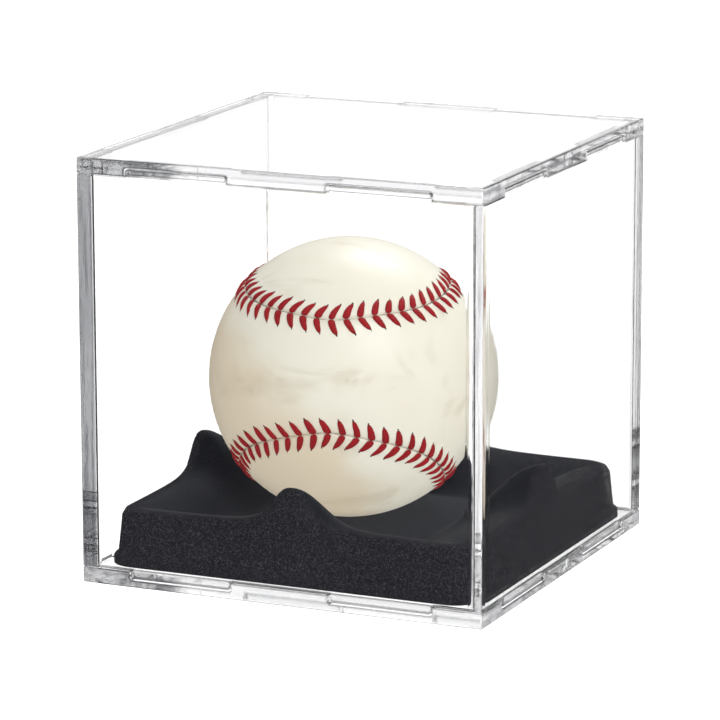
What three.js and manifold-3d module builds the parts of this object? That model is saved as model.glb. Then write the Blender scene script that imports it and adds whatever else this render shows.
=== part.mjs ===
// Clear display cube for one baseball.
// Two notched plates close the ends of a four-wall sleeve, a black flocked cradle lies on the
// lower plate, and a regulation ball, built up from cork, rubber, yarn and leather, rests in it.
// Millimetres, +Z up, origin at the middle of the underside of the base plate.
import * as THREE from 'three';
import { mergeVertices } from 'three/addons/utils/BufferGeometryUtils.js';
import Module from 'manifold-3d';

const wasm = await Module();
wasm.setup();

// ---- case ---------------------------------------------------------------------------------
const CASE_WIDTH = 112;        // outside, along X
const CASE_DEPTH = 112;        // outside, along Y
const CASE_HEIGHT = 112;       // outside, plate to plate
const PLATE_THICKNESS = 4.2;
const WALL_THICKNESS = 3;
const INNER_CORNER_RADIUS = 1.5;
const TAB_HEIGHT = 2;
const TAB_CORNER_RADIUS = 0.8;
const CORNER_LAND = 13.5;      // plate edge left whole at each corner
const MIDDLE_LAND = 27;        // plate edge left whole in the middle of each side
const FIT_CLEARANCE = 0.3;     // round each tab in its notch
const SEAT_GAP = 0.1;          // between faces that rest on each other

// ---- cradle -------------------------------------------------------------------------------
const CRADLE_SIDE_CLEARANCE = 1.6; // from the foot to the inside of the walls
const FOOT_HEIGHT = 2.2;
const FOOT_WIDTH = 0.9;            // how far the foot stands out from the drafted wall
const WALL_DRAFT = 0.8;            // drawn in from the foot to the rim
const CRADLE_CORNER_RADIUS = 7;
const CRADLE_SHEET = 1.6;          // thickness of the formed sheet
const RIM_HEIGHT = 14.3;           // rim above the plate
const RIM_ROUNDING = 1.8;
const RIM_LAND = 3.5;
const FLOOR_HEIGHT = 6.75;         // flat floor above the plate
const FLOOR_RADIUS = 24;           // where the floor starts to rise to the rim
const PEAK_HEIGHT = 10.4;          // of each peak above the rim
const PEAK_HALF_WIDTH = 5.3;       // at half its height, at the rim
const PEAK_SPREAD = 0.25;          // how much wider it gets for each millimetre inwards
const PEAK_INSET = 3.2;            // of each peak's crest from the rim
const PEAK_RUN = 21;               // length of the crest's slope towards the middle
const PEAK_FALL = 2.8;             // how sharply a peak falls away sideways
const CRADLE_CELLS = 24;           // facets across the cradle

// ---- ball ---------------------------------------------------------------------------------
const BALL_RADIUS = 37;
const BALL_PLACE = [-3.9, -1.8];   // where the ball lies on the cradle's floor
const LAYER_GAP = 0.3;
const CORK_RADIUS = 10.3;
const BLACK_RUBBER_THICKNESS = 3.7;
const RED_RUBBER_THICKNESS = 2.1;
const WHITE_WOOL_THICKNESS = 1.4;
const OUTER_WOOL_THICKNESS = 1.5;
const COTTON_THICKNESS = 0.6;
const LEATHER_THICKNESS = 1.25;
const YARN_CHANNEL_RADIUS = 1.2;   // where each yarn's end comes through its layer
const BALL_SEGMENTS = 16;
const BALL_ROWS = 8;
const SEAM_SHAPE = 0.4055;         // half-angle of a cover's waist, radians
const SEAM_GAP = 0.4;              // between the two leather panels
const PANEL_ROWS = 40;
const PANEL_COLUMNS = 7;
const PANEL_FACET = 8;             // largest half-angle of a panel's facet, degrees
const STITCHES = 108;
const STITCH_REACH = 2.6;          // from the seam to a stitch's end
const STITCH_SLANT = 1.1;
const STITCH_WAIST = 0.7;
const THREAD_THICKNESS = 0.45;
const BALL_TURN = [76.9, 15.1, -86.6];   // degrees about X, Y and Z

// ---- worked out ---------------------------------------------------------------------------
const SLEEVE_BOTTOM = PLATE_THICKNESS + SEAT_GAP;
const SLEEVE_TOP = CASE_HEIGHT - PLATE_THICKNESS - SEAT_GAP;
const CRADLE_BASE = PLATE_THICKNESS + SEAT_GAP;
const BALL_CENTRE = CRADLE_BASE + FLOOR_HEIGHT + LAYER_GAP + BALL_RADIUS;
const BALL_ROOM = BALL_RADIUS + LAYER_GAP;

// Each layer of the ball as [outer radius, inner radius]; the grey wool takes up what the
// others leave between the rubber and the leather.
const outsideOf = (inner, thickness) => [inner + LAYER_GAP + thickness, inner + LAYER_GAP];
const insideOf = (outer, thickness) => [outer - LAYER_GAP, outer - LAYER_GAP - thickness];
const LEATHER = [BALL_RADIUS, BALL_RADIUS - LEATHER_THICKNESS];
const COTTON = insideOf(LEATHER[1] * Math.cos(THREE.MathUtils.degToRad(PANEL_FACET)), COTTON_THICKNESS);
const OUTER_WOOL = insideOf(COTTON[1], OUTER_WOOL_THICKNESS);
const WHITE_WOOL_LAYER = insideOf(OUTER_WOOL[1], WHITE_WOOL_THICKNESS);
const BLACK_SHELL = outsideOf(CORK_RADIUS, BLACK_RUBBER_THICKNESS);
const RED_SHELL = outsideOf(BLACK_SHELL[0], RED_RUBBER_THICKNESS);
const GREY_WOOL_LAYER = [WHITE_WOOL_LAYER[1] - LAYER_GAP, RED_SHELL[0] + LAYER_GAP];

// ---- materials ----------------------------------------------------------------------------
const finish = (color, roughness, extra = {}) =>
  new THREE.MeshStandardMaterial({ color, roughness, metalness: 0, ...extra });
const CLEAR_PLASTIC = finish(0xf2f6f8, 0.05, { transparent: true, opacity: 0.25 });
const BLACK_FLOCK = finish(0x2d2d32, 0.85);
const CORK = finish(0xb58a5a, 0.9);
const BLACK_RUBBER = finish(0x1a1a1a, 0.7);
const RED_RUBBER = finish(0x8e2a22, 0.7);
const GREY_WOOL = finish(0x8a8c90, 1);
const WHITE_WOOL = finish(0xe8e4d8, 1);
const WHITE_COTTON = finish(0xf3efe2, 0.9);
const CREAM_LEATHER = finish(0xf2ecd6, 0.5);
const RED_THREAD = finish(0xaf1c26, 0.7);

// ---- solids -------------------------------------------------------------------------------
function solidOf(geometry) {
  const bare = geometry.clone();
  bare.deleteAttribute('normal');
  bare.deleteAttribute('uv');
  const merged = mergeVertices(bare, 1e-4);
  return new wasm.Manifold(new wasm.Mesh({
    numProp: 3,
    vertProperties: new Float32Array(merged.attributes.position.array),
    triVerts: new Uint32Array(merged.index.array),
  }));
}

function geometryOf(solid) {
  const mesh = solid.getMesh();
  const geometry = new THREE.BufferGeometry();
  geometry.setAttribute('position', new THREE.BufferAttribute(mesh.vertProperties, 3));
  geometry.setIndex(new THREE.BufferAttribute(mesh.triVerts, 1));
  geometry.computeVertexNormals();
  return geometry;
}

function meshOf(name, geometry, material) {
  const mesh = new THREE.Mesh(geometry, material);
  mesh.name = name;
  return mesh;
}

// A band that closes on itself, skinned over rings of equally many points.
function closedBand(rings) {
  const size = rings[0].length;
  const index = [];
  rings.forEach((_, row) => {
    const next = (row + 1) % rings.length;
    for (let i = 0; i < size; i += 1) {
      const j = (i + 1) % size;
      const [a, b] = [row * size + i, row * size + j];
      const [c, d] = [next * size + j, next * size + i];
      index.push(a, b, c, a, c, d);
    }
  });
  const geometry = new THREE.BufferGeometry();
  geometry.setAttribute('position', new THREE.Float32BufferAttribute(rings.flat(2), 3));
  geometry.setIndex(index);
  return geometry;
}

// ---- case: plates and sleeve --------------------------------------------------------------
// The four sides, each with the length of its edge and the turn that brings it to the front.
const SIDES = [
  { length: CASE_WIDTH, reach: CASE_DEPTH / 2, turn: 0 },
  { length: CASE_DEPTH, reach: CASE_WIDTH / 2, turn: Math.PI / 2 },
  { length: CASE_WIDTH, reach: CASE_DEPTH / 2, turn: Math.PI },
  { length: CASE_DEPTH, reach: CASE_WIDTH / 2, turn: -Math.PI / 2 },
];

// A tongue in the plane of a wall: from z = low to z = high, rounded at its free corners.
function tongue(width, height, thickness, root) {
  const shape = new THREE.Shape();
  const radius = Math.min(TAB_CORNER_RADIUS, height / 2);
  shape.moveTo(-width / 2, -root);
  shape.lineTo(width / 2, -root);
  shape.lineTo(width / 2, height - radius);
  shape.absarc(width / 2 - radius, height - radius, radius, 0, Math.PI / 2, false);
  shape.lineTo(-width / 2 + radius, height);
  shape.absarc(-width / 2 + radius, height - radius, radius, Math.PI / 2, Math.PI, false);
  shape.closePath();
  const body = new THREE.ExtrudeGeometry(shape, {
    depth: thickness, bevelEnabled: false, curveSegments: 5,
  });
  body.rotateX(Math.PI / 2);
  return body;
}

// Eight tongues, two to a side, pointing up from z = level or down from it.
function tonguesAt(level, direction, clearance) {
  const solids = [];
  for (const side of SIDES) {
    const notch = (side.length - 2 * CORNER_LAND - MIDDLE_LAND) / 2;
    const offset = MIDDLE_LAND / 2 + notch / 2;
    for (const centre of [-offset, offset]) {
      const width = notch + (clearance > 0 ? 0 : -2 * FIT_CLEARANCE);
      const deep = WALL_THICKNESS + (clearance > 0 ? FIT_CLEARANCE + 1 : 0);
      const body = tongue(width, TAB_HEIGHT + clearance, deep, clearance > 0 ? 1 : 0.5);
      if (direction < 0) body.rotateY(Math.PI);
      body.translate(centre, -side.reach + deep - (clearance > 0 ? 1 : 0), level);
      body.rotateZ(side.turn);
      solids.push(solidOf(body));
    }
  }
  return solids;
}

function plateBody() {
  const block = new THREE.BoxGeometry(CASE_WIDTH, CASE_DEPTH, PLATE_THICKNESS);
  block.translate(0, 0, PLATE_THICKNESS / 2);
  let plate = solidOf(block);
  for (const cutter of tonguesAt(PLATE_THICKNESS, -1, FIT_CLEARANCE)) plate = plate.subtract(cutter);
  return geometryOf(plate);
}

function roundedRectangle(path, halfX, halfY, radius) {
  path.moveTo(halfX, -halfY + radius);
  path.lineTo(halfX, halfY - radius);
  path.absarc(halfX - radius, halfY - radius, radius, 0, Math.PI / 2, false);
  path.absarc(-halfX + radius, halfY - radius, radius, Math.PI / 2, Math.PI, false);
  path.absarc(-halfX + radius, -halfY + radius, radius, Math.PI, 1.5 * Math.PI, false);
  path.absarc(halfX - radius, -halfY + radius, radius, 1.5 * Math.PI, 2 * Math.PI, false);
  path.closePath();
  return path;
}

function sleeveBody() {
  const outline = new THREE.Shape();
  outline.moveTo(-CASE_WIDTH / 2, -CASE_DEPTH / 2);
  outline.lineTo(CASE_WIDTH / 2, -CASE_DEPTH / 2);
  outline.lineTo(CASE_WIDTH / 2, CASE_DEPTH / 2);
  outline.lineTo(-CASE_WIDTH / 2, CASE_DEPTH / 2);
  outline.closePath();
  outline.holes.push(roundedRectangle(
    new THREE.Path(), CASE_WIDTH / 2 - WALL_THICKNESS, CASE_DEPTH / 2 - WALL_THICKNESS,
    INNER_CORNER_RADIUS,
  ));
  const tube = new THREE.ExtrudeGeometry(outline, {
    depth: SLEEVE_TOP - SLEEVE_BOTTOM, bevelEnabled: false, curveSegments: 8,
  });
  tube.translate(0, 0, SLEEVE_BOTTOM);
  let sleeve = solidOf(tube);
  for (const tab of tonguesAt(SLEEVE_TOP, 1, 0)) sleeve = sleeve.add(tab);
  for (const tab of tonguesAt(SLEEVE_BOTTOM, -1, 0)) sleeve = sleeve.add(tab);
  return geometryOf(sleeve);
}

// ---- cradle -------------------------------------------------------------------------------
const CRADLE_HALF_X = CASE_WIDTH / 2 - WALL_THICKNESS - CRADLE_SIDE_CLEARANCE;
const CRADLE_HALF_Y = CASE_DEPTH / 2 - WALL_THICKNESS - CRADLE_SIDE_CLEARANCE;
const smooth = (value) => {
  const t = Math.min(1, Math.max(0, value));
  return t * t * (3 - 2 * t);
};

// Height of the upper surface above the plate, x and y measured to a rim at halfX and halfY.
function cradleHeight(x, y, halfX, halfY) {
  const toX = Math.abs(x);
  const toY = Math.abs(y);
  const inset = Math.min(halfX - toX, halfY - toY);
  const span = Math.min(halfX, halfY);
  const rise = smooth((span - inset - FLOOR_RADIUS) / (span - RIM_LAND - FLOOR_RADIUS));
  const dish = FLOOR_HEIGHT + (RIM_HEIGHT - FLOOR_HEIGHT) * rise;
  const peaks = [[toX, toY, halfX], [toY, toX, halfY]].map(([along, across, half]) => {
    const slope = Math.min(1, Math.max(0, (along - half + PEAK_INSET) / PEAK_RUN + 1));
    const crest = (slope + smooth(slope)) / 2;
    const halfWidth = PEAK_HALF_WIDTH + PEAK_SPREAD * (half - along);
    return crest / (1 + (across / halfWidth) ** PEAK_FALL);
  });
  const height = dish + Math.max(...peaks) * (RIM_HEIGHT + PEAK_HEIGHT - dish);
  const fromBall = Math.hypot(x - BALL_PLACE[0], y - BALL_PLACE[1]);
  if (fromBall >= BALL_ROOM) return height;
  const ballUnderside = BALL_CENTRE - CRADLE_BASE - Math.sqrt(BALL_ROOM ** 2 - fromBall ** 2);
  return Math.min(height, ballUnderside);
}

// A point of the unit square's ring, carried to the same place on a rounded rectangle.
function onRoundedRing(u, v, halfX, halfY, radius) {
  const ring = Math.max(Math.abs(u), Math.abs(v));
  if (ring === 0) return [0, 0];
  const bend = (along, across) => {
    const side = 1 - radius / Math.min(halfX, halfY);
    if (along <= side) return [along, across];
    const angle = (along - side) / (1 - side) * Math.PI / 4;
    return [side + (1 - side) * Math.sin(angle), side + (1 - side) * Math.cos(angle)];
  };
  const [a, b] = [Math.abs(u) / ring, Math.abs(v) / ring];
  const [x, y] = b >= a ? bend(a, b) : bend(b, a).reverse();
  return [Math.sign(u) * x * ring * halfX, Math.sign(v) * y * ring * halfY];
}

function cradleBody() {
  const cells = CRADLE_CELLS;
  const rimX = CRADLE_HALF_X - FOOT_WIDTH - WALL_DRAFT;
  const rimY = CRADLE_HALF_Y - FOOT_WIDTH - WALL_DRAFT;
  const positions = [];
  const index = [];
  const grid = (spreadX, spreadY, heightAt) => {
    const start = positions.length / 3;
    for (let j = 0; j <= cells; j += 1) {
      for (let i = 0; i <= cells; i += 1) {
        const [u, v] = [2 * i / cells - 1, 2 * j / cells - 1];
        const [x, y] = onRoundedRing(u, v, rimX, rimY, CRADLE_CORNER_RADIUS);
        const z = CRADLE_BASE + heightAt(x, y, Math.max(Math.abs(u), Math.abs(v)));
        positions.push(x * spreadX, y * spreadY, z);
      }
    }
    return start;
  };
  const rounding = (ring) => (ring < 1 ? 0 : RIM_ROUNDING);
  const top = grid(1, 1, (x, y, ring) => cradleHeight(x, y, rimX, rimY) - rounding(ring));
  const under = grid(
    1 - CRADLE_SHEET / rimX, 1 - CRADLE_SHEET / rimY,
    (x, y, ring) => cradleHeight(x, y, rimX, rimY) - CRADLE_SHEET - rounding(ring),
  );
  for (let j = 0; j < cells; j += 1) {
    for (let i = 0; i < cells; i += 1) {
      const corner = j * (cells + 1) + i;
      const quad = [corner, corner + 1, corner + cells + 2, corner + cells + 1];
      const [a, b, c, d] = quad.map((k) => top + k);
      const [e, f, g, h] = quad.map((k) => under + k);
      index.push(a, b, c, a, c, d, e, g, f, e, h, g);
    }
  }
  // The border of the grid, anticlockwise seen from above.
  const border = [];
  for (let i = 0; i < cells; i += 1) border.push([i, 0]);
  for (let j = 0; j < cells; j += 1) border.push([cells, j]);
  for (let i = cells; i > 0; i -= 1) border.push([i, cells]);
  for (let j = cells; j > 0; j -= 1) border.push([0, j]);
  const ringAt = (halfX, halfY, height) => border.map(([i, j]) => {
    const [u, v] = [2 * i / cells - 1, 2 * j / cells - 1];
    const [x, y] = onRoundedRing(u, v, halfX, halfY, CRADLE_CORNER_RADIUS);
    positions.push(x, y, CRADLE_BASE + height);
    return positions.length / 3 - 1;
  });
  const gridRing = (start) => border.map(([i, j]) => start + j * (cells + 1) + i);
  const lip = FOOT_WIDTH + CRADLE_SHEET;
  const walls = [
    gridRing(top),
    ringAt(CRADLE_HALF_X - FOOT_WIDTH, CRADLE_HALF_Y - FOOT_WIDTH, FOOT_HEIGHT + 0.4),
    ringAt(CRADLE_HALF_X, CRADLE_HALF_Y, FOOT_HEIGHT),
    ringAt(CRADLE_HALF_X, CRADLE_HALF_Y, 0),
    ringAt(CRADLE_HALF_X - lip, CRADLE_HALF_Y - lip, 0),
    gridRing(under),
  ];
  for (let k = 0; k < walls.length - 1; k += 1) {
    for (let i = 0; i < border.length; i += 1) {
      const next = (i + 1) % border.length;
      const [a, b] = [walls[k][i], walls[k][next]];
      const [c, d] = [walls[k + 1][next], walls[k + 1][i]];
      index.push(a, d, c, a, c, b);
    }
  }
  const geometry = new THREE.BufferGeometry();
  geometry.setAttribute('position', new THREE.Float32BufferAttribute(positions, 3));
  geometry.setIndex(index);
  return geometryOf(solidOf(geometry));
}

// ---- ball: core, rubber and yarn ----------------------------------------------------------
// Points of an arc of a sphere's section, from one latitude to another, degrees.
function arc(radius, from, to, rows) {
  return Array.from({ length: rows + 1 }, (_, i) => {
    const angle = THREE.MathUtils.degToRad(from + (to - from) * i / rows);
    return new THREE.Vector2(Math.max(0, radius * Math.cos(angle)), radius * Math.sin(angle));
  });
}

const latheOf = (profile) => geometryOf(solidOf(new THREE.LatheGeometry(profile, BALL_SEGMENTS)));

// A wound layer, with the small channel that its yarn's end comes through.
function woundLayer([outer, inner]) {
  const top = 90 - 180 / BALL_ROWS;
  const mouth = (radius) => new THREE.Vector2(
    YARN_CHANNEL_RADIUS, Math.sqrt(radius ** 2 - YARN_CHANNEL_RADIUS ** 2),
  );
  return latheOf([
    ...arc(outer, -90, top, BALL_ROWS - 1), mouth(outer),
    mouth(inner), ...arc(inner, top, -90, BALL_ROWS - 1),
  ]);
}

// Half of a moulded rubber shell; `side` is 1 for the upper half and -1 for the lower one.
function halfShell([outer, inner], side) {
  const edge = (radius) => THREE.MathUtils.radToDeg(Math.asin(LAYER_GAP / 2 / radius));
  const rows = BALL_ROWS / 2;
  const section = (radius, from, to) => arc(radius, from, to, rows);
  if (side > 0) {
    return latheOf([...section(outer, edge(outer), 90), ...section(inner, 90, edge(inner)),
      section(outer, edge(outer), 90)[0]]);
  }
  return latheOf([...section(inner, -edge(inner), -90), ...section(outer, -90, -edge(outer)),
    section(inner, -edge(inner), -90)[0]]);
}

// ---- ball: leather and stitching ----------------------------------------------------------
// The seam on the unit sphere; it closes after two turns of its parameter.
function seamPoint(parameter) {
  const polar = Math.PI / 2 - (Math.PI / 2 - SEAM_SHAPE) * Math.cos(parameter);
  const round = parameter / 2 + SEAM_SHAPE * Math.sin(2 * parameter);
  return new THREE.Vector3(
    Math.sin(polar) * Math.cos(round), Math.sin(polar) * Math.sin(round), Math.cos(polar),
  );
}

function seamFrame(parameter) {
  const point = seamPoint(parameter);
  const along = seamPoint(parameter + 1e-3).sub(seamPoint(parameter - 1e-3)).normalize();
  return { point, along, across: new THREE.Vector3().crossVectors(point, along) };
}

// Parameters that cut the seam into equal lengths.
function evenSeam(count) {
  const steps = 2400;
  const lengths = [0];
  for (let i = 1; i <= steps; i += 1) {
    const step = seamPoint(4 * Math.PI * i / steps).distanceTo(seamPoint(4 * Math.PI * (i - 1) / steps));
    lengths.push(lengths[i - 1] + step);
  }
  return Array.from({ length: count }, (_, k) => {
    const wanted = lengths[steps] * k / count;
    const after = Math.max(1, lengths.findIndex((length) => length > wanted));
    const part = (wanted - lengths[after - 1]) / (lengths[after] - lengths[after - 1]);
    return 4 * Math.PI * (after - 1 + part) / steps;
  });
}

// One figure-of-eight leather panel: rows of great-circle arcs from edge to edge of the seam.
function leatherPanel() {
  const rows = [];
  for (let i = 0; i <= PANEL_ROWS; i += 1) {
    const parameter = Math.PI * (2 * i / PANEL_ROWS - 1);
    const { point, across } = seamFrame(parameter);
    const edge = point.clone().addScaledVector(across, SEAM_GAP / 2 / BALL_RADIUS).normalize();
    const other = new THREE.Vector3(-edge.x, edge.y, edge.z);
    rows.push(Array.from({ length: PANEL_COLUMNS + 1 }, (_, j) => {
      const angle = edge.angleTo(other);
      const part = j / PANEL_COLUMNS;
      if (angle < 1e-4) return edge.clone();
      return edge.clone().multiplyScalar(Math.sin((1 - part) * angle))
        .addScaledVector(other, Math.sin(part * angle)).normalize();
    }));
  }
  const positions = [];
  const index = [];
  const width = PANEL_COLUMNS + 1;
  for (const radius of LEATHER) {
    for (const row of rows) for (const p of row) positions.push(p.x * radius, p.y * radius, p.z * radius);
  }
  const under = rows.length * width;
  for (let i = 0; i < PANEL_ROWS; i += 1) {
    for (let j = 0; j < PANEL_COLUMNS; j += 1) {
      const [a, b] = [i * width + j, i * width + j + 1];
      const [c, d] = [b + width, a + width];
      index.push(a, c, b, a, d, c, under + a, under + b, under + c, under + a, under + c, under + d);
    }
  }
  const rim = [];
  for (let i = 0; i < PANEL_ROWS; i += 1) rim.push(i * width);
  for (let j = 0; j < PANEL_COLUMNS; j += 1) rim.push(PANEL_ROWS * width + j);
  for (let i = PANEL_ROWS; i > 0; i -= 1) rim.push(i * width + PANEL_COLUMNS);
  for (let j = PANEL_COLUMNS; j > 0; j -= 1) rim.push(j);
  rim.forEach((a, k) => {
    const b = rim[(k + 1) % rim.length];
    index.push(a, under + b, b, a, under + a, under + b);
  });
  const geometry = new THREE.BufferGeometry();
  geometry.setAttribute('position', new THREE.Float32BufferAttribute(positions, 3));
  geometry.setIndex(index);
  return geometry;
}

// The lacing: a toothed band that lies over the seam, one pair of teeth to a stitch.
function lacingBody() {
  const low = BALL_RADIUS + LAYER_GAP;
  const high = low + THREAD_THICKNESS;
  const rings = evenSeam(2 * STITCHES).map((parameter, k) => {
    const { point, along, across } = seamFrame(parameter);
    const [reach, slant] = k % 2 ? [STITCH_WAIST, 0] : [STITCH_REACH, STITCH_SLANT];
    const corner = (side, radius) => point.clone()
      .addScaledVector(across, side * reach / BALL_RADIUS)
      .addScaledVector(along, slant / BALL_RADIUS)
      .normalize().multiplyScalar(radius).toArray();
    return [corner(-1, low), corner(1, low), corner(1, high), corner(-1, high)];
  });
  return closedBand(rings);
}

// ---- assembly -----------------------------------------------------------------------------
const group = new THREE.Group();

group.add(meshOf('base_plate', plateBody(), CLEAR_PLASTIC));

const lid = meshOf('lid_plate', plateBody(), CLEAR_PLASTIC);
lid.rotation.x = Math.PI;
lid.position.z = CASE_HEIGHT;
group.add(lid);

group.add(meshOf('wall_sleeve', sleeveBody(), CLEAR_PLASTIC));
group.add(meshOf('ball_cradle', cradleBody(), BLACK_FLOCK));

const ball = new THREE.Group();
ball.position.set(...BALL_PLACE, BALL_CENTRE);
ball.rotation.set(...BALL_TURN.map((angle) => THREE.MathUtils.degToRad(angle)));
group.add(ball);

const core = new THREE.SphereGeometry(CORK_RADIUS, BALL_SEGMENTS, BALL_ROWS);
ball.add(meshOf('cork_core', geometryOf(solidOf(core)), CORK));
for (const [side, half] of [[1, 'upper'], [-1, 'lower']]) {
  ball.add(meshOf(`black_rubber_${half}`, halfShell(BLACK_SHELL, side), BLACK_RUBBER));
  ball.add(meshOf(`red_rubber_${half}`, halfShell(RED_SHELL, side), RED_RUBBER));
}
ball.add(meshOf('grey_wool_winding', woundLayer(GREY_WOOL_LAYER), GREY_WOOL));
ball.add(meshOf('white_wool_winding', woundLayer(WHITE_WOOL_LAYER), WHITE_WOOL));
ball.add(meshOf('outer_wool_winding', woundLayer(OUTER_WOOL), GREY_WOOL));
ball.add(meshOf('cotton_winding', woundLayer(COTTON), WHITE_COTTON));

ball.add(meshOf('leather_panel_a', leatherPanel(), CREAM_LEATHER));
const second = leatherPanel();
second.applyMatrix4(new THREE.Matrix4().makeRotationAxis(
  new THREE.Vector3(1, 1, 0).normalize(), Math.PI,
));
ball.add(meshOf('leather_panel_b', second, CREAM_LEATHER));
ball.add(meshOf('red_lacing', lacingBody(), RED_THREAD));

export default group;
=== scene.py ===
import math
import random

import bmesh
import bpy
from mathutils import Matrix, Vector
from mathutils.kdtree import KDTree


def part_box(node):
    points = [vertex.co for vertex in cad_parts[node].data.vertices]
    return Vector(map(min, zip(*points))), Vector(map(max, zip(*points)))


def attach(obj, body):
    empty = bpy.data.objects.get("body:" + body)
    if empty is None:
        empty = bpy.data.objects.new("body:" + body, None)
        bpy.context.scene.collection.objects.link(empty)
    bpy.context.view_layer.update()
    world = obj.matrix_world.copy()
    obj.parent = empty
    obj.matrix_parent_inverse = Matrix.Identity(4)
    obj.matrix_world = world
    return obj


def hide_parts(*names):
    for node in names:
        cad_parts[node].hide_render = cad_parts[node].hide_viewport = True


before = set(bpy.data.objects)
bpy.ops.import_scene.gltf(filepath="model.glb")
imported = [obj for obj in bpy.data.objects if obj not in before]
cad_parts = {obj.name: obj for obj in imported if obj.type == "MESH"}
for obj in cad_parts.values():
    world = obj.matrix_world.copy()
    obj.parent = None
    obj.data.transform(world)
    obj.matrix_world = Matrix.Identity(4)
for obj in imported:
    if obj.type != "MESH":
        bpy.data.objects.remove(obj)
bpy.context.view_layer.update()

MM = 0.001

# ---- sizes, metres ------------------------------------------------------------------------
EDGE_ROUND = 0.35 * MM            # on every outside edge of the clear pieces
CREASE = math.radians(40)         # an edge sharper than this is rounded
WELD = 0.002 * MM                 # closer corners of a CAD solid are one corner

CRADLE_CELLS = 140                # grid cells along each side of the cradle
CRADLE_CORNER = 7 * MM            # corner radius
CRADLE_SHEET = 1.4 * MM
FOOT_HEIGHT = 2.2 * MM
FOOT_WIDTH = 0.9 * MM
FOOT_BLEND = 0.8 * MM             # how far above the foot the wall begins
WALL_DRAFT = 0.8 * MM
WALL_ROWS = 6
RIM_HEIGHT = 14.3 * MM
RIM_ROUNDING = 1.8 * MM
RIM_LAND = 3.5 * MM               # flat width inside the rim
FLOOR_HEIGHT = 6.75 * MM
FLOOR_RADIUS = 24 * MM
PEAK_HEIGHT = 10.4 * MM           # above the rim
PEAK_HALF_WIDTH = 5.3 * MM
PEAK_SPREAD = 0.25                # half-width gained per metre towards the ball
PEAK_INSET = 3.2 * MM
PEAK_RUN = 21 * MM
PEAK_FALL = 2.8
GRAIN_REACH = 1 * MM              # how far inside the rim the walls' coarse flock, painted glints and lighter colour reach
GRAIN_FADE = 3.5 * MM             # the width over which it fades from there

BALL_RADIUS = 37 * MM
BALL_TURN = (76.9, 15.1, -86.6)   # degrees about X, Y and Z
SEAM_SHAPE = 0.4055               # half-angle of a cover's waist, radians
SEAM_TURN = 4 * math.pi           # the seam closes after this much of its parameter
SEAM_STEPS = 4000
SEAM_GAP = 0.22 * MM
LEATHER = 1.1 * MM
PANEL_ROWS = 240
PANEL_COLUMNS = 56
PANEL_WELD = 0.01 * MM
NEAR_SEAM = 3 * MM                # how far the seam's wear fades over the leather
EDGE_ROLL = (0.32 * MM, 0.6 * MM)             # depth and width of the rolled edge
RIDGE = (0.22 * MM, 2.2 * MM, 1.6 * MM)       # height, distance from the seam and width
PUCKER = (0.16 * MM, 3.6 * MM, 1.5 * MM)      # depth, distance from the seam and width
STITCHES = 108
SAMPLES_PER_STITCH = 16
STITCH_REACH = 4.3 * MM           # from the seam to the needle's hole
STITCH_LEAN = 1.9 * MM            # how far the hole lies ahead of the stitch's foot
STITCH_WIDTH = 1.95 * MM
STITCH_RISE = 0.42 * MM
STITCH_SINK = 0.12 * MM           # how deep the two ends lie in the leather
STITCH_BOW = 0.18 * MM
STITCH_THICK = 0.36 * MM          # half the thread's thickness
STITCH_START = 0.02 * MM          # from the seam's middle
HOLE_RADIUS = 0.26 * MM
HOLE_FLATNESS = 0.25
HOLE_LIFT = 0.02 * MM
HOLE_BACK = 0.05 * MM             # how far the hole lies inside the stitch's tip

CASE_SHADE = 51.2 * MM            # the corners' painted reflection grey starts this far from the middle
PLATE_TOP = 4.1 * MM              # the lower plate's painted reflection grey ends here
LID_UNDERSIDE = 107.9 * MM        # the lid's painted reflection grey is whole from here
PLATE_SIDE = 55.6 * MM            # the plates' rims lie outside this

LIGHT_BOUNCES = 32                # enough for light to run the length of a clear wall
FLOOR_SIZE = 6
FLOOR_DROP = 0.1 * MM
OBJECT_MIDDLE = (0, 0, 0.05)


# ---- meshes -------------------------------------------------------------------------------
def smooth(value):
    t = min(1.0, max(0.0, value))
    return t * t * (3 - 2 * t)


def hump(distance, shape):
    """A soft ridge with this height, distance from the seam and width."""
    height, middle, width = shape
    return height * math.exp(-(((distance - middle) / width) ** 2))


def make_piece(name, bm, finish, body, replaced=()):
    """Turns a bmesh into a piece that rides on a body and stands for its CAD nodes."""
    mesh = bpy.data.meshes.new(name)
    bm.to_mesh(mesh)
    bm.free()
    mesh.materials.append(finish)
    piece = bpy.data.objects.new(name, mesh)
    bpy.context.scene.collection.objects.link(piece)
    piece.visible_glossy = body != "ball"
    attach(piece, body)
    if replaced:
        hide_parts(*replaced)
    return piece


def shade_smooth(bm):
    for face in bm.faces:
        face.smooth = True


def thicken(piece, name, thickness):
    """Gives a sheet its thickness, on the inside of its faces."""
    wall = piece.modifiers.new(name, "SOLIDIFY")
    wall.thickness = thickness
    wall.offset = -1


def clear_piece(name, node, finish, body):
    """A clear moulding: the CAD solid with every sharp edge rounded over."""
    bm = bmesh.new()
    bm.from_mesh(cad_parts[node].data)
    edge = bm.faces.layers.float.new("edge")
    bmesh.ops.remove_doubles(bm, verts=bm.verts, dist=WELD)
    bmesh.ops.dissolve_limit(
        bm, angle_limit=math.radians(0.5), verts=bm.verts, edges=bm.edges
    )
    sharp = [
        e for e in bm.edges if len(e.link_faces) == 2 and e.calc_face_angle() > CREASE
    ]
    rounded = bmesh.ops.bevel(
        bm, geom=sharp, offset=EDGE_ROUND, offset_type="OFFSET", segments=3,
        profile=0.5, affect="EDGES", material=-1, clamp_overlap=True,
    )["faces"]
    for face in rounded:
        face[edge] = 1.0
    for face in bm.faces:
        face.smooth = max(abs(c) for c in face.normal) < 0.9999
    piece = make_piece(name, bm, finish, body, (node,))
    piece.visible_shadow = False
    piece.visible_diffuse = False


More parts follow.
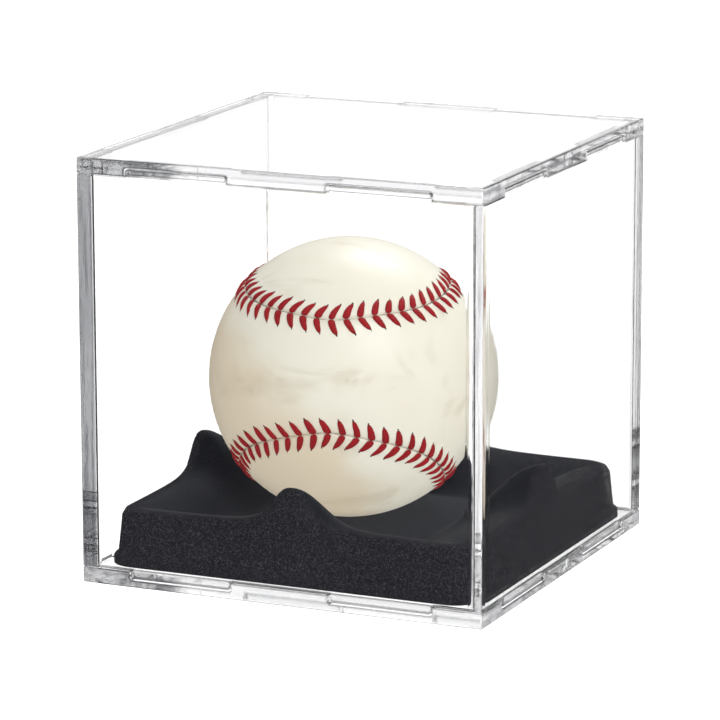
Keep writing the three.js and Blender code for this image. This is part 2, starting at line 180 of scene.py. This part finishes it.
def on_rounded_ring(u, v, half_x, half_y, radius):
    """A point of the unit square's ring, carried to the same place on a rounded rectangle."""
    ring = max(abs(u), abs(v))
    if ring == 0:
        return 0.0, 0.0
    side = 1 - radius / min(half_x, half_y)

    def bend(along, across):
        if along <= side:
            return along, across
        angle = (along - side) / (1 - side) * math.pi / 4
        return side + (1 - side) * math.sin(angle), side + (1 - side) * math.cos(angle)

    a, b = abs(u) / ring, abs(v) / ring
    x, y = bend(a, b) if b >= a else reversed(bend(b, a))
    return math.copysign(x * ring * half_x, u), math.copysign(y * ring * half_y, v)


def cradle_height(x, y, half_x, half_y):
    """Height of the cradle's upper surface above its foot."""
    to_x, to_y = abs(x), abs(y)
    inset = min(half_x - to_x, half_y - to_y)
    span = min(half_x, half_y)
    rise = smooth((span - inset - FLOOR_RADIUS) / (span - RIM_LAND - FLOOR_RADIUS))
    dish = FLOOR_HEIGHT + (RIM_HEIGHT - FLOOR_HEIGHT) * rise
    crest = 0.0
    for along, across, half in ((to_x, to_y, half_x), (to_y, to_x, half_y)):
        slope = min(1.0, max(0.0, (along - half + PEAK_INSET) / PEAK_RUN + 1))
        half_width = PEAK_HALF_WIDTH + PEAK_SPREAD * (half - along)
        fall = 1 + (across / half_width) ** PEAK_FALL
        crest = max(crest, (slope + smooth(slope)) / 2 / fall)
    return dish + crest * (RIM_HEIGHT + PEAK_HEIGHT - dish)


def cradle_walls(base):
    """The rows below the rim: how far out, how far down from the rim, and the height reached."""
    top_of_foot = base + FOOT_HEIGHT
    rows = [
        (WALL_DRAFT * k / WALL_ROWS, k / WALL_ROWS, top_of_foot + FOOT_BLEND)
        for k in range(1, WALL_ROWS + 1)
    ]
    return rows + [
        (WALL_DRAFT + 0.15 * MM, 1, top_of_foot + 0.5 * MM),
        (WALL_DRAFT + FOOT_WIDTH - 0.25 * MM, 1, top_of_foot + 0.15 * MM),
        (WALL_DRAFT + FOOT_WIDTH, 1, top_of_foot - 0.3 * MM),
        (WALL_DRAFT + FOOT_WIDTH, 1, base),
    ]


def cradle_piece(finish):
    """The formed tray: a grid pressed over the dish and its peaks, then drawn down to the foot."""
    low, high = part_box("ball_cradle")
    base = low.z
    rim_x = high.x - FOOT_WIDTH - WALL_DRAFT
    rim_y = high.y - FOOT_WIDTH - WALL_DRAFT
    bm = bmesh.new()
    grain = bm.verts.layers.float.new("grain")
    bmesh.ops.create_grid(bm, x_segments=CRADLE_CELLS, y_segments=CRADLE_CELLS, size=1)
    on_grid = {}
    for vert in bm.verts:
        u, v = vert.co.x, vert.co.y
        x, y = on_rounded_ring(u, v, rim_x, rim_y, CRADLE_CORNER)
        inside = (1 - max(abs(u), abs(v))) * min(rim_x, rim_y)
        over = max(0.0, RIM_ROUNDING - inside)
        rounding = RIM_ROUNDING - math.sqrt(RIM_ROUNDING**2 - over**2)
        on_grid[vert] = (u, v)
        vert.co = (x, y, base + cradle_height(x, y, rim_x, rim_y) - rounding)
        vert[grain] = 1 - smooth((inside - GRAIN_REACH) / GRAIN_FADE)
    loop = [e for e in bm.edges if e.is_boundary]
    rim = {vert: (*on_grid[vert], vert.co.z) for e in loop for vert in e.verts}
    for out, share, level in cradle_walls(base):
        made = bmesh.ops.extrude_edge_only(bm, edges=loop)["geom"]
        lower = {}
        for vert in (g for g in made if isinstance(g, bmesh.types.BMVert)):
            above = next(
                e.other_vert(vert) for e in vert.link_edges if e.other_vert(vert) in rim
            )
            u, v, top = rim[above]
            x, y = on_rounded_ring(u, v, rim_x + out, rim_y + out, CRADLE_CORNER)
            vert.co = (x, y, top + (level - top) * share)
            vert[grain] = 1.0
            lower[vert] = (u, v, top)
        rim = lower
        loop = [g for g in made if isinstance(g, bmesh.types.BMEdge)]
    bmesh.ops.recalc_face_normals(bm, faces=bm.faces)
    shade_smooth(bm)
    piece = make_piece("cradle", bm, finish, "cradle", ("ball_cradle",))
    thicken(piece, "sheet", CRADLE_SHEET)
    piece.visible_diffuse = False
    piece.visible_glossy = False


# ---- the ball -----------------------------------------------------------------------------
def ball_matrix():
    """Carries the ball's own frame to its place and turn on the cradle."""
    low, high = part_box("cotton_winding")
    about_x, about_y, about_z = (math.radians(a) for a in BALL_TURN)
    spin = (
        Matrix.Rotation(about_x, 4, "X")
        @ Matrix.Rotation(about_y, 4, "Y")
        @ Matrix.Rotation(about_z, 4, "Z")
    )
    return Matrix.Translation((low + high) / 2) @ spin


def seam_point(parameter):
    """The seam on the unit sphere."""
    polar = math.pi / 2 - (math.pi / 2 - SEAM_SHAPE) * math.cos(parameter)
    around = parameter / 2 + SEAM_SHAPE * math.sin(2 * parameter)
    return Vector(
        (math.sin(polar) * math.cos(around), math.sin(polar) * math.sin(around), math.cos(polar))
    )


def seam_frame(parameter):
    """A point of the seam, the way along it and the way across it."""
    point = seam_point(parameter)
    along = (seam_point(parameter + 1e-3) - seam_point(parameter - 1e-3)).normalized()
    return point, along, point.cross(along)


def even_seam(count):
    """Parameters that cut the seam into equal lengths."""
    lengths = [0.0]
    for i in range(SEAM_STEPS):
        ahead = seam_point(SEAM_TURN * (i + 1) / SEAM_STEPS)
        step = ahead - seam_point(SEAM_TURN * i / SEAM_STEPS)
        lengths.append(lengths[-1] + step.length)
    found, after = [], 1
    for k in range(count):
        wanted = lengths[-1] * k / count
        while lengths[after] < wanted:
            after += 1
        part = (wanted - lengths[after - 1]) / (lengths[after] - lengths[after - 1])
        found.append(SEAM_TURN * (after - 1 + part) / SEAM_STEPS)
    return found


def seam_tree():
    """The seam's points, to find how far a place on the leather is from it and from a stitch."""
    samples = even_seam(STITCHES * SAMPLES_PER_STITCH)
    tree = KDTree(len(samples))
    for i, parameter in enumerate(samples):
        tree.insert(seam_point(parameter), i)
    tree.balance()
    return tree


def leather_radius(distance, phase):
    """The cover's height near the seam: rolled at the edge, raised beside it, puckered by thread."""
    depth, width = EDGE_ROLL
    rolled = depth * (1 - smooth(distance / width))
    pull = 0.5 + 0.5 * math.cos(2 * math.pi * phase)
    return BALL_RADIUS - rolled + hump(distance, RIDGE) - pull * hump(distance, PUCKER)


def leather_panel(name, finish, node, flip, tree, place):
    """A figure-of-eight panel: a grid laid in great-circle arcs between the seam's two sides."""
    bm = bmesh.new()
    near = bm.verts.layers.float.new("near_seam")
    bmesh.ops.create_grid(bm, x_segments=PANEL_ROWS, y_segments=PANEL_COLUMNS, size=1)
    for vert in bm.verts:
        point, _, across = seam_frame(math.pi * vert.co.x)
        edge = (point + across * (SEAM_GAP / 2 / BALL_RADIUS)).normalized()
        other = Vector((-edge.x, edge.y, edge.z))
        part = 0.5 - 0.5 * math.cos(math.pi * (vert.co.y + 1) / 2)
        angle = edge.angle(other)
        if angle < 1e-4:
            unit = edge
        else:
            unit = edge * math.sin((1 - part) * angle) + other * math.sin(part * angle)
            unit.normalize()
        _, index, gap = tree.find(unit)
        distance = max(0.0, gap * BALL_RADIUS - SEAM_GAP / 2)
        vert[near] = math.exp(-distance / NEAR_SEAM)
        vert.co = unit * leather_radius(distance, index / SAMPLES_PER_STITCH)
    bmesh.ops.remove_doubles(bm, verts=bm.verts, dist=PANEL_WELD)
    if flip:
        swap = Matrix.Rotation(math.pi, 4, Vector((1, 1, 0)).normalized())
        bmesh.ops.transform(bm, matrix=swap, verts=bm.verts)
    bmesh.ops.transform(bm, matrix=place, verts=bm.verts)
    bmesh.ops.recalc_face_normals(bm, faces=bm.faces)
    bm.faces.ensure_lookup_table()
    first = bm.faces[0]
    if (first.calc_center_median() - place.translation).dot(first.normal) < 0:
        bmesh.ops.reverse_faces(bm, faces=bm.faces)
    shade_smooth(bm)
    piece = make_piece(name, bm, finish, "ball", (node,))
    thicken(piece, "thickness", LEATHER)


def stitch_arm(bm, tip, parameter, side, draw):
    """One arm of a stitch: a leaf of doubled thread from the seam out to its needle's hole."""
    point, along, across = seam_frame(parameter)
    reach = STITCH_REACH * draw.uniform(0.93, 1.07)
    lean = STITCH_LEAN * draw.uniform(0.85, 1.15)
    width = STITCH_WIDTH * draw.uniform(0.9, 1.1)
    made = bmesh.ops.create_uvsphere(bm, u_segments=8, v_segments=9, radius=1)["verts"]
    for vert in made:
        t = min(1.0, max(0.0, (vert.co.z + 1) / 2))
        girth = max(1e-6, math.sqrt(1 - min(1.0, vert.co.z**2)))
        fullness = min(1.0, math.sqrt(t / 0.14)) * (1 - t**4) ** 0.55
        sideways = vert.co.x / girth * fullness * width / 2
        lift = vert.co.y * STITCH_THICK
        ahead = lean * t**1.35
        bow = STITCH_BOW * math.sin(math.pi * t)
        out = side * (STITCH_START + reach * t**1.1)
        unit = point + across * (out / BALL_RADIUS)
        unit += along * ((bow - ahead + sideways) / BALL_RADIUS)
        unit.normalize()
        rise = STITCH_RISE * math.sin(math.pi * min(1, 0.12 + 0.88 * t))
        vert.co = unit * (BALL_RADIUS + rise - STITCH_SINK + lift)
        vert[tip] = t
    hole = point + across * (side * (reach - HOLE_BACK) / BALL_RADIUS)
    return (hole - along * (lean / BALL_RADIUS)).normalized()


def stitching(thread, hole_shade_finish, place):
    """The lacing's arms, two at each stitch, and the needle hole at the end of each."""
    draw = random.Random(108)
    bm = bmesh.new()
    tip = bm.verts.layers.float.new("tip")
    holes = []
    for parameter in even_seam(STITCHES):
        for side in (1, -1):
            holes.append(stitch_arm(bm, tip, parameter, side, draw))
    bmesh.ops.transform(bm, matrix=place, verts=bm.verts)
    bmesh.ops.recalc_face_normals(bm, faces=bm.faces)
    shade_smooth(bm)
    make_piece("stitches", bm, thread, "ball", ("red_lacing",))
    # Flattened dark dots over the leather, painted shade for the needle holes.
    bm = bmesh.new()
    for unit in holes:
        spot = unit.to_track_quat("Z", "X").to_matrix().to_4x4()
        spot.translation = unit * (BALL_RADIUS + HOLE_LIFT)
        bmesh.ops.create_uvsphere(
            bm, u_segments=8, v_segments=4, radius=HOLE_RADIUS,
            matrix=spot @ Matrix.Diagonal((1, 1, HOLE_FLATNESS, 1)),
        )
    bmesh.ops.transform(bm, matrix=place, verts=bm.verts)
    shade_smooth(bm)
    make_piece("needle_holes", bm, hole_shade_finish, "ball")


# ---- shader maths -------------------------------------------------------------------------
class Signal:
    """A node's output that adds Math nodes as it is used in an expression."""

    def __init__(self, board, socket):
        self.board = board
        self.socket = socket

    def _maths(self, operation, first, second=0.0):
        return self.board.node(
            "ShaderNodeMath", {"operation": operation}, {0: first, 1: second}
        )

    def __add__(self, other):
        return self._maths("ADD", self, other)

    def __radd__(self, other):
        return self._maths("ADD", other, self)

    def __sub__(self, other):
        return self._maths("SUBTRACT", self, other)

    def __rsub__(self, other):
        return self._maths("SUBTRACT", other, self)

    def __mul__(self, other):
        return self._maths("MULTIPLY", self, other)

    def __rmul__(self, other):
        return self._maths("MULTIPLY", other, self)

    def __gt__(self, other):
        return self._maths("GREATER_THAN", self, other)

    def __lt__(self, other):
        return self._maths("LESS_THAN", self, other)

    def __abs__(self):
        return self._maths("ABSOLUTE", self)

    def at_least(self, other):
        return self._maths("MAXIMUM", self, other)

    def output(self, name):
        return Signal(self.board, self.socket.node.outputs[name])


class Board:
    """A node tree and the ways to put nodes in it."""

    def __init__(self, tree):
        self.tree = tree

    def node(self, kind, settings=None, inputs=None):
        """Adds a node, sets it up, then feeds its sockets; gives its first output in use."""
        made = self.tree.nodes.new(kind)
        for name, value in (settings or {}).items():
            if name == "stops":
                ramp = made.color_ramp
                while len(ramp.elements) < len(value):
                    ramp.elements.new(0.5)
                for element, (position, colour) in zip(ramp.elements, value):
                    element.position = position
                    element.color = colour
            else:
                setattr(made, name, value)
        for name, value in (inputs or {}).items():
            self.feed(made.inputs[name], value)
        return Signal(self, next((s for s in made.outputs if s.enabled), None))

    def feed(self, socket, value):
        if isinstance(value, Signal):
            self.tree.links.new(value.socket, socket)
        else:
            socket.default_value = value

    def vectors(self, operation, first, second=(0, 0, 0)):
        return self.node(
            "ShaderNodeVectorMath", {"operation": operation}, {0: first, 1: second}
        )

    def parts(self, vector):
        split = self.node("ShaderNodeSeparateXYZ", None, {0: vector})
        return split, split.output("Y"), split.output("Z")

    def between(self, value, low, high):
        """0 below low, 1 above high, smooth between them."""
        return self.node(
            "ShaderNodeMapRange", {"interpolation_type": "SMOOTHSTEP"},
            {"Value": value, "From Min": low, "From Max": high},
        )

    def mix(self, amount, first, second):
        """One colour over another; the node's colour sockets share their names, so go by number."""
        return self.node(
            "ShaderNodeMix", {"data_type": "RGBA"}, {"Factor": amount, 6: first, 7: second}
        )


class Finish(Board):
    """A material and the nodes that it is made of."""

    def __init__(self, name, **constants):
        self.material = bpy.data.materials.new(name)
        self.material.use_nodes = True
        super().__init__(self.material.node_tree)
        self.surface = self.tree.nodes["Principled BSDF"]
        self.output = self.tree.nodes["Material Output"]
        for socket, value in constants.items():
            self.surface.inputs[socket.replace("_", " ")].default_value = value
        self.place = self.node("ShaderNodeTexCoord").output("Object")

    def noise(self, scale, detail=2, roughness=0.5, place=None, distortion=0):
        return self.node(
            "ShaderNodeTexNoise", None,
            {"Vector": place or self.place, "Scale": scale, "Detail": detail,
             "Roughness": roughness, "Distortion": distortion},
        )

    def attribute(self, name):
        return self.node("ShaderNodeAttribute", {"attribute_name": name}).output("Fac")

    def bump(self, height, depth):
        made = self.node("ShaderNodeBump", None, {"Height": height, "Distance": depth, "Strength": 1})
        self.set("Normal", made)

    def set(self, socket, value):
        self.feed(self.surface.inputs[socket], value)


# ---- finishes -----------------------------------------------------------------------------
def rgb(red, green, blue):
    return (red, green, blue, 1.0)


def clear_plastic():
    """Clear moulding plastic, with flow lines bumped up its corners and painted reflections: grey in
    its rounded edges, streaks up its corners, grey in its rims.
    """
    finish = Finish("clear_plastic", IOR=1.49, Transmission_Weight=1.0)
    between = finish.between
    x, y, z = finish.parts(finish.place)
    far_x, far_y = abs(x), abs(y)

    upright = finish.vectors("MULTIPLY", finish.place, (1.0, 1.0, 0.03))
    streak = finish.noise(1100, 3, 0.65, place=upright)
    ripple = finish.noise(420, 2, 0.5, place=upright)
    line = between(streak, 0.46, 0.62)
    swirl = between(finish.noise(150, 3, 0.6, distortion=1.5), 0.42, 0.62)

    # Painted reflections: grey streaks in the thick wall corners, heaviest at the front left corner,
    # lighter at the back right.
    corner_x = between(far_x, CASE_SHADE, CASE_SHADE + 0.8 * MM)
    corner_y = between(far_y, CASE_SHADE, CASE_SHADE + 0.8 * MM)
    corner = corner_x * corner_y
    heavy = 1 - between(x + y, -80 * MM, -60 * MM)
    medium = between(x + y, 60 * MM, 80 * MM)
    outer_x = between(far_x, 54.5 * MM, 55.4 * MM)
    outer_y = between(far_y, 54.5 * MM, 55.4 * MM)

    # Painted reflection grey in the rims of the lid and the lower plate, strongest along the front
    # rim's left part.
    lid = between(z, LID_UNDERSIDE - 0.3 * MM, LID_UNDERSIDE)
    plate = lid + (1 - between(z, PLATE_TOP, PLATE_TOP + 0.3 * MM))
    front = 1 - between(y, -PLATE_SIDE - 0.35 * MM, -PLATE_SIDE)
    left = 1 - between(x, -32 * MM, -24 * MM)
    sides = between(far_x, PLATE_SIDE, PLATE_SIDE + 0.35 * MM)
    rim_reflection_grey = front * left * (0.70 + 0.25 * swirl) + 0.4 * swirl * sides

    walls = corner * (1 - plate) * outer_x.at_least(outer_y)
    corner_reflection_streaks = (0.04 + 0.30 * medium + 0.87 * heavy) + (0.45 - 0.36 * heavy) * line
    # Painted reflection grey along the rounded edges, away from the corners.
    rounded = finish.attribute("edge") * 0.5 * (1 - corner)
    grey = walls * corner_reflection_streaks + rounded + plate * rim_reflection_grey
    finish.set("Base Color", finish.mix(grey, rgb(1, 1, 1), rgb(0.04, 0.042, 0.048)))
    finish.set("Roughness", 0.01 * finish.noise(40, 3))
    finish.bump((streak + ripple) * (0.1 + 0.9 * corner), 0.02 * MM)
    absorb = finish.node(
        "ShaderNodeVolumeAbsorption", None, {"Color": rgb(0.90, 0.90, 0.905), "Density": 18}
    )
    finish.feed(finish.output.inputs["Volume"], absorb)
    return finish.material


def black_flock():
    """Short black flock: grainy on the outer walls, with painted glints, smoother and bluer down in
    the dish, and darker there with painted shade.
    """
    finish = Finish("black_flock", Specular_IOR_Level=0.06)
    grain = finish.attribute("grain")
    fine = finish.noise(3600, 2, 0.6)
    coarse = finish.noise(1300, 2, 0.5)
    drift = finish.noise(70, 2)
    # Painted glints: light flecks, mostly on the outer walls.
    painted_glints = finish.between(fine + 0.3 * coarse, 0.62, 0.84) * (0.15 + 0.85 * grain)
    # Darker down in the dish: painted shade.
    inside = finish.mix(drift, rgb(0.005, 0.006, 0.010), rgb(0.009, 0.010, 0.016))
    outside = finish.mix(drift, rgb(0.014, 0.014, 0.018), rgb(0.022, 0.022, 0.028))
    ground = finish.mix(grain, inside, outside)
    finish.set("Base Color", finish.mix(painted_glints * 0.42, ground, rgb(0.14, 0.14, 0.16)))
    finish.set("Roughness", 0.55 + 0.35 * grain)
    finish.bump((fine + coarse) * (0.08 + 0.92 * grain), 0.3 * MM)
    return finish.material


def cream_leather(centre):
    """Cream leather: browned on one side and underneath, partly as handling stain and partly as
    painted shade, with faint rubbed smears.
    """
    finish = Finish("cream_leather", Specular_IOR_Level=0.5)
    near = finish.attribute("near_seam")
    middle = finish.vectors("SUBTRACT", finish.place, tuple(centre))
    # Browned towards the left, the front and the underside: partly handling stain, partly painted
    # shade.
    side = finish.vectors("DOT_PRODUCT", middle, (-21.7, -14.3, -18.5)).output("Value")
    stretched = finish.vectors("MULTIPLY", finish.place, (0.35, 1.0, 1.0))
    drift = finish.noise(45, 3, 0.55)
    handling_stain_and_shade = finish.between(side + 0.9 * (drift - 0.5), 0.20, 0.80)
    stain = finish.between(finish.noise(22, 3, 0.5), 0.42, 0.72)
    streaks = finish.noise(75, 4, 0.6, place=stretched, distortion=0.5)
    smear = finish.between(streaks, 0.53, 0.70)
    rub = finish.between(finish.noise(240, 4, 0.65, place=stretched), 0.60, 0.74)
    pores = finish.noise(1500, 3, 0.6)
    wrinkle = finish.noise(330, 3, 0.55, distortion=0.6)
    colour = finish.mix(stain * 0.5, rgb(0.93, 0.90, 0.77), rgb(0.84, 0.75, 0.56))
    colour = finish.mix(handling_stain_and_shade * 0.6, colour, rgb(0.80, 0.63, 0.41))
    colour = finish.mix(smear * 0.35, colour, rgb(0.62, 0.52, 0.36))
    colour = finish.mix(rub * smear * 0.5, colour, rgb(0.36, 0.32, 0.24))
    colour = finish.mix(near * near * 0.3, colour, rgb(0.70, 0.63, 0.50))
    finish.set("Base Color", colour)
    finish.set("Roughness", 0.27 + 0.2 * wrinkle)
    finish.bump(pores * 0.35 + wrinkle * (0.35 + 1.1 * near), 0.07 * MM)
    return finish.material


def red_thread():
    """Waxed thread: plied, and darkened with painted shade where it goes into the leather."""
    finish = Finish("red_thread", Specular_IOR_Level=0.25)
    ply = finish.node(
        "ShaderNodeTexWave", {"wave_type": "BANDS"},
        {"Vector": finish.place, "Scale": 900, "Distortion": 3, "Detail": 2},
    )
    # Painted shade at the thread's ends, where it goes into the leather.
    end = finish.between(finish.attribute("tip"), 0.80, 1.0)
    tone = finish.noise(260, 2)
    colour = finish.mix(tone, rgb(0.27, 0.004, 0.008), rgb(0.42, 0.008, 0.014))
    colour = finish.mix(end * 0.8, colour, rgb(0.07, 0.012, 0.012))
    finish.set("Base Color", colour)
    finish.set("Roughness", 0.45 + 0.25 * ply)
    finish.bump(ply, 0.05 * MM)
    return finish.material


# Painted shade of a needle hole: dark brown with faint mottling.
def needle_hole():
    finish = Finish("needle_hole", Roughness=0.9, Specular_IOR_Level=0.1)
    colour = finish.mix(finish.noise(700), rgb(0.03, 0.022, 0.018), rgb(0.08, 0.06, 0.045))
    finish.set("Base Color", colour)
    return finish.material


def wound_yarn(name, dark, light, scale):
    """Yarn wound in every direction, as crossed bands."""
    finish = Finish(name, Roughness=0.95, Specular_IOR_Level=0.1)
    one_way, other_way = (
        finish.node(
            "ShaderNodeTexWave", {"wave_type": "RINGS", "rings_direction": axis},
            {"Vector": finish.place, "Scale": scale, "Distortion": 1.5, "Detail": 2},
        )
        for axis in ("X", "Y")
    )
    over = finish.between(finish.noise(120), 0.45, 0.55)
    strand = one_way * over + other_way * (1 - over)
    finish.set("Base Color", finish.mix(strand, dark, light))
    finish.bump(strand, 0.3 * MM)
    return finish.material


def moulded_rubber(name, dark, light):
    finish = Finish(name, Roughness=0.6)
    finish.set("Base Color", finish.mix(finish.noise(300, 3), dark, light))
    finish.bump(finish.noise(1200, 2), 0.05 * MM)
    return finish.material


def pressed_cork():
    finish = Finish("pressed_cork", Roughness=0.9, Specular_IOR_Level=0.2)
    crumbs = finish.node(
        "ShaderNodeTexVoronoi", {"feature": "F1"}, {"Vector": finish.place, "Scale": 700}
    )
    browns = [
        (0.0, rgb(0.30, 0.17, 0.08)),
        (0.45, rgb(0.52, 0.33, 0.17)),
        (1.0, rgb(0.64, 0.45, 0.27)),
    ]
    finish.set("Base Color", finish.node("ShaderNodeValToRGB", {"stops": browns}, {"Fac": crumbs}))
    finish.bump(crumbs, 0.2 * MM)
    return finish.material


# ---- stage --------------------------------------------------------------------------------
def once_mirrored(path):
    """1 for light that was reflected exactly once on its way through the clear pieces."""
    reflections = path.output("Glossy Depth")
    return (reflections > 0.5) * (reflections < 1.5)


def floor_finish():
    """A white table: bright where it is seen, softer where it lights the object, dim when mirrored."""
    white = rgb(1, 1, 1)
    finish = Finish(
        "white_table", Roughness=0.9, Specular_IOR_Level=0.0,
        Emission_Color=white, Emission_Strength=1.3,
    )
    colour = finish.mix(finish.noise(3), rgb(0.34, 0.34, 0.34), rgb(0.36, 0.36, 0.36))
    finish.set("Base Color", colour)
    path = finish.node("ShaderNodeLightPath")
    away = finish.vectors("LENGTH", finish.place).output("Value")
    dim = finish.mix(finish.between(away, 0.45, 0.9), rgb(0.02, 0.02, 0.02), rgb(0.35, 0.35, 0.35))
    mirrored = finish.node("ShaderNodeEmission", None, {"Color": dim, "Strength": 1.0})
    lighting = finish.node("ShaderNodeEmission", None, {"Color": white, "Strength": 0.95})
    seen = Signal(finish, finish.surface.outputs[0])
    table = finish.node(
        "ShaderNodeMixShader", None, {0: once_mirrored(path), 1: seen, 2: mirrored}
    )
    table = finish.node(
        "ShaderNodeMixShader", None, {0: path.output("Is Diffuse Ray"), 1: table, 2: lighting}
    )
    finish.feed(finish.output.inputs["Surface"], table)
    return finish.material


def make_camera():
    data = bpy.data.cameras.new("camera")
    camera = bpy.data.objects.new("camera", data)
    bpy.context.scene.collection.objects.link(camera)
    azimuth, elevation, roll = (math.radians(a) for a in (24.142, 12.842, -0.163))
    camera.location = (0.4564, -1.0231, 0.3078)
    camera.rotation_euler = (
        Matrix.Rotation(azimuth, 4, "Z")
        @ Matrix.Rotation(math.pi / 2 - elevation, 4, "X")
        @ Matrix.Rotation(roll, 4, "Z")
    ).to_euler()
    data.lens = 218.2
    data.sensor_width = 36
    data.clip_start = 0.01
    data.clip_end = 50
    bpy.context.scene.camera = camera


def soft_light(name, place, size, power):
    """A rectangular lamp that points at the object and isn't seen through the clear pieces."""
    data = bpy.data.lights.new(name, "AREA")
    data.shape = "RECTANGLE"
    data.size, data.size_y = size
    data.energy = power
    lamp = bpy.data.objects.new(name, data)
    lamp.location = place
    aim = Vector(OBJECT_MIDDLE) - Vector(place)
    lamp.rotation_euler = aim.to_track_quat("-Z", "Y").to_euler()
    lamp.visible_transmission = False
    lamp.visible_camera = False
    bpy.context.scene.collection.objects.link(lamp)


def make_world():
    """A white room: greyer overhead where it is seen, and dark below where it is mirrored."""
    world = bpy.data.worlds.new("white_room")
    bpy.context.scene.world = world
    world.use_nodes = True
    world.node_tree.nodes.clear()
    room = Board(world.node_tree)
    path = room.node("ShaderNodeLightPath")
    side, _, height = room.parts(room.node("ShaderNodeTexCoord").output("Generated"))
    mirror = once_mirrored(path)
    scatter = path.output("Is Diffuse Ray")
    seen = 1.55 - 1.1 * room.between(height, 0.3, 0.6)
    low, high = room.between(height, -0.16, -0.08), room.between(height, 0.02, 0.15)
    mirrored = 0.02 + 0.33 * low + 0.65 * high
    scattered = 0.78 + 0.10 * side
    strength = (seen * (1 - mirror) + mirrored * mirror) * (1 - scatter) + scattered * scatter
    background = room.node("ShaderNodeBackground", None, {"Strength": strength})
    room.node("ShaderNodeOutputWorld", None, {"Surface": background})


def make_floor():
    bm = bmesh.new()
    bmesh.ops.create_grid(bm, x_segments=2, y_segments=2, size=FLOOR_SIZE)
    bmesh.ops.translate(bm, vec=(0, 0, -FLOOR_DROP), verts=bm.verts)
    mesh = bpy.data.meshes.new("floor")
    bm.to_mesh(mesh)
    bm.free()
    mesh.materials.append(floor_finish())
    floor = bpy.data.objects.new("floor", mesh)
    bpy.context.scene.collection.objects.link(floor)
    floor.visible_glossy = False


# ---- the object ---------------------------------------------------------------------------
make_camera()
make_world()
make_floor()
soft_light("key", (0.55, -0.45, 0.70), (0.5, 0.5), 3.3)
soft_light("top", (-0.06, 0.56, 0.75), (0.34, 0.20), 2.2)
bpy.context.scene.view_settings.view_transform = "Standard"
paths = bpy.context.scene.cycles
paths.max_bounces = LIGHT_BOUNCES
paths.glossy_bounces = LIGHT_BOUNCES
paths.transmission_bounces = LIGHT_BOUNCES

plastic = clear_plastic()
clear_piece("clear_base", "base_plate", plastic, "base")
clear_piece("clear_lid", "lid_plate", plastic, "lid")
clear_piece("clear_sleeve", "wall_sleeve", plastic, "sleeve")
cradle_piece(black_flock())

place = ball_matrix()
tree = seam_tree()
hide = cream_leather(place.translation)
leather_panel("cover_a", hide, "leather_panel_a", False, tree, place)
leather_panel("cover_b", hide, "leather_panel_b", True, tree, place)
stitching(red_thread(), needle_hole(), place)

black_rubber = moulded_rubber("black_rubber", rgb(0.012, 0.012, 0.012), rgb(0.025, 0.025, 0.025))
red_rubber = moulded_rubber("red_rubber", rgb(0.22, 0.03, 0.02), rgb(0.33, 0.05, 0.04))
grey_wool = wound_yarn("grey_wool", rgb(0.22, 0.23, 0.25), rgb(0.45, 0.46, 0.48), 350)
white_wool = wound_yarn("white_wool", rgb(0.58, 0.55, 0.48), rgb(0.85, 0.82, 0.74), 400)
white_cotton = wound_yarn("white_cotton", rgb(0.60, 0.57, 0.50), rgb(0.86, 0.84, 0.77), 700)
INNER_FINISHES = {
    "cork_core": pressed_cork(),
    "black_rubber_upper": black_rubber,
    "black_rubber_lower": black_rubber,
    "red_rubber_upper": red_rubber,
    "red_rubber_lower": red_rubber,
    "grey_wool_winding": grey_wool,
    "white_wool_winding": white_wool,
    "outer_wool_winding": grey_wool,
    "cotton_winding": white_cotton,
}
for node, finish in INNER_FINISHES.items():
    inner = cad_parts[node]
    inner.visible_glossy = False
    inner.material_slots[0].material = finish
